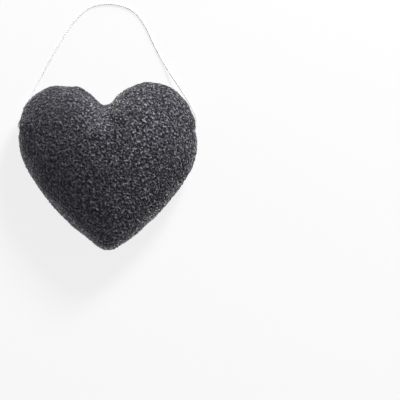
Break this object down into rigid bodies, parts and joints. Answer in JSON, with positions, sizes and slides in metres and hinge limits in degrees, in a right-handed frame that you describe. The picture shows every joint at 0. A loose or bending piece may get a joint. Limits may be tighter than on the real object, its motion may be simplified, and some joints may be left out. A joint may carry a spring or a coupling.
{
  "type": "konjac sponge",
  "caption": "Heart-shaped charcoal konjac face sponge with a domed front, a flat back and a thin white cotton hanging loop that swings about its exits in the lobes.",
  "frame": {"origin": "middle of the sponge's box, on the flat back that lies on the table", "axes": "+Z out of the domed front, +X across the two lobes, +Y from the heart's point to its notch, where the string loop lies"},
  "size_m": [0.0813, 0.1111, 0.0305],
  "materials": {
    "konjac_foam": "matte fine-pored charcoal foam",
    "cotton_string": "matte twisted cotton"
  },
  "bodies": {
    "sponge": {"sponge_body": "konjac_foam"},
    "string": {"string_loop": "cotton_string", "string_run_left": "cotton_string", "string_run_right": "cotton_string", "string_knot": "cotton_string"}
  },
  "joints": [
    {"name": "loop_swing", "type": "hinge", "parent": "sponge", "child": "string", "pos_m": [0, 0.017, 0.011], "axis": [1, 0, 0], "range_deg": [0, 165]}
  ]
}
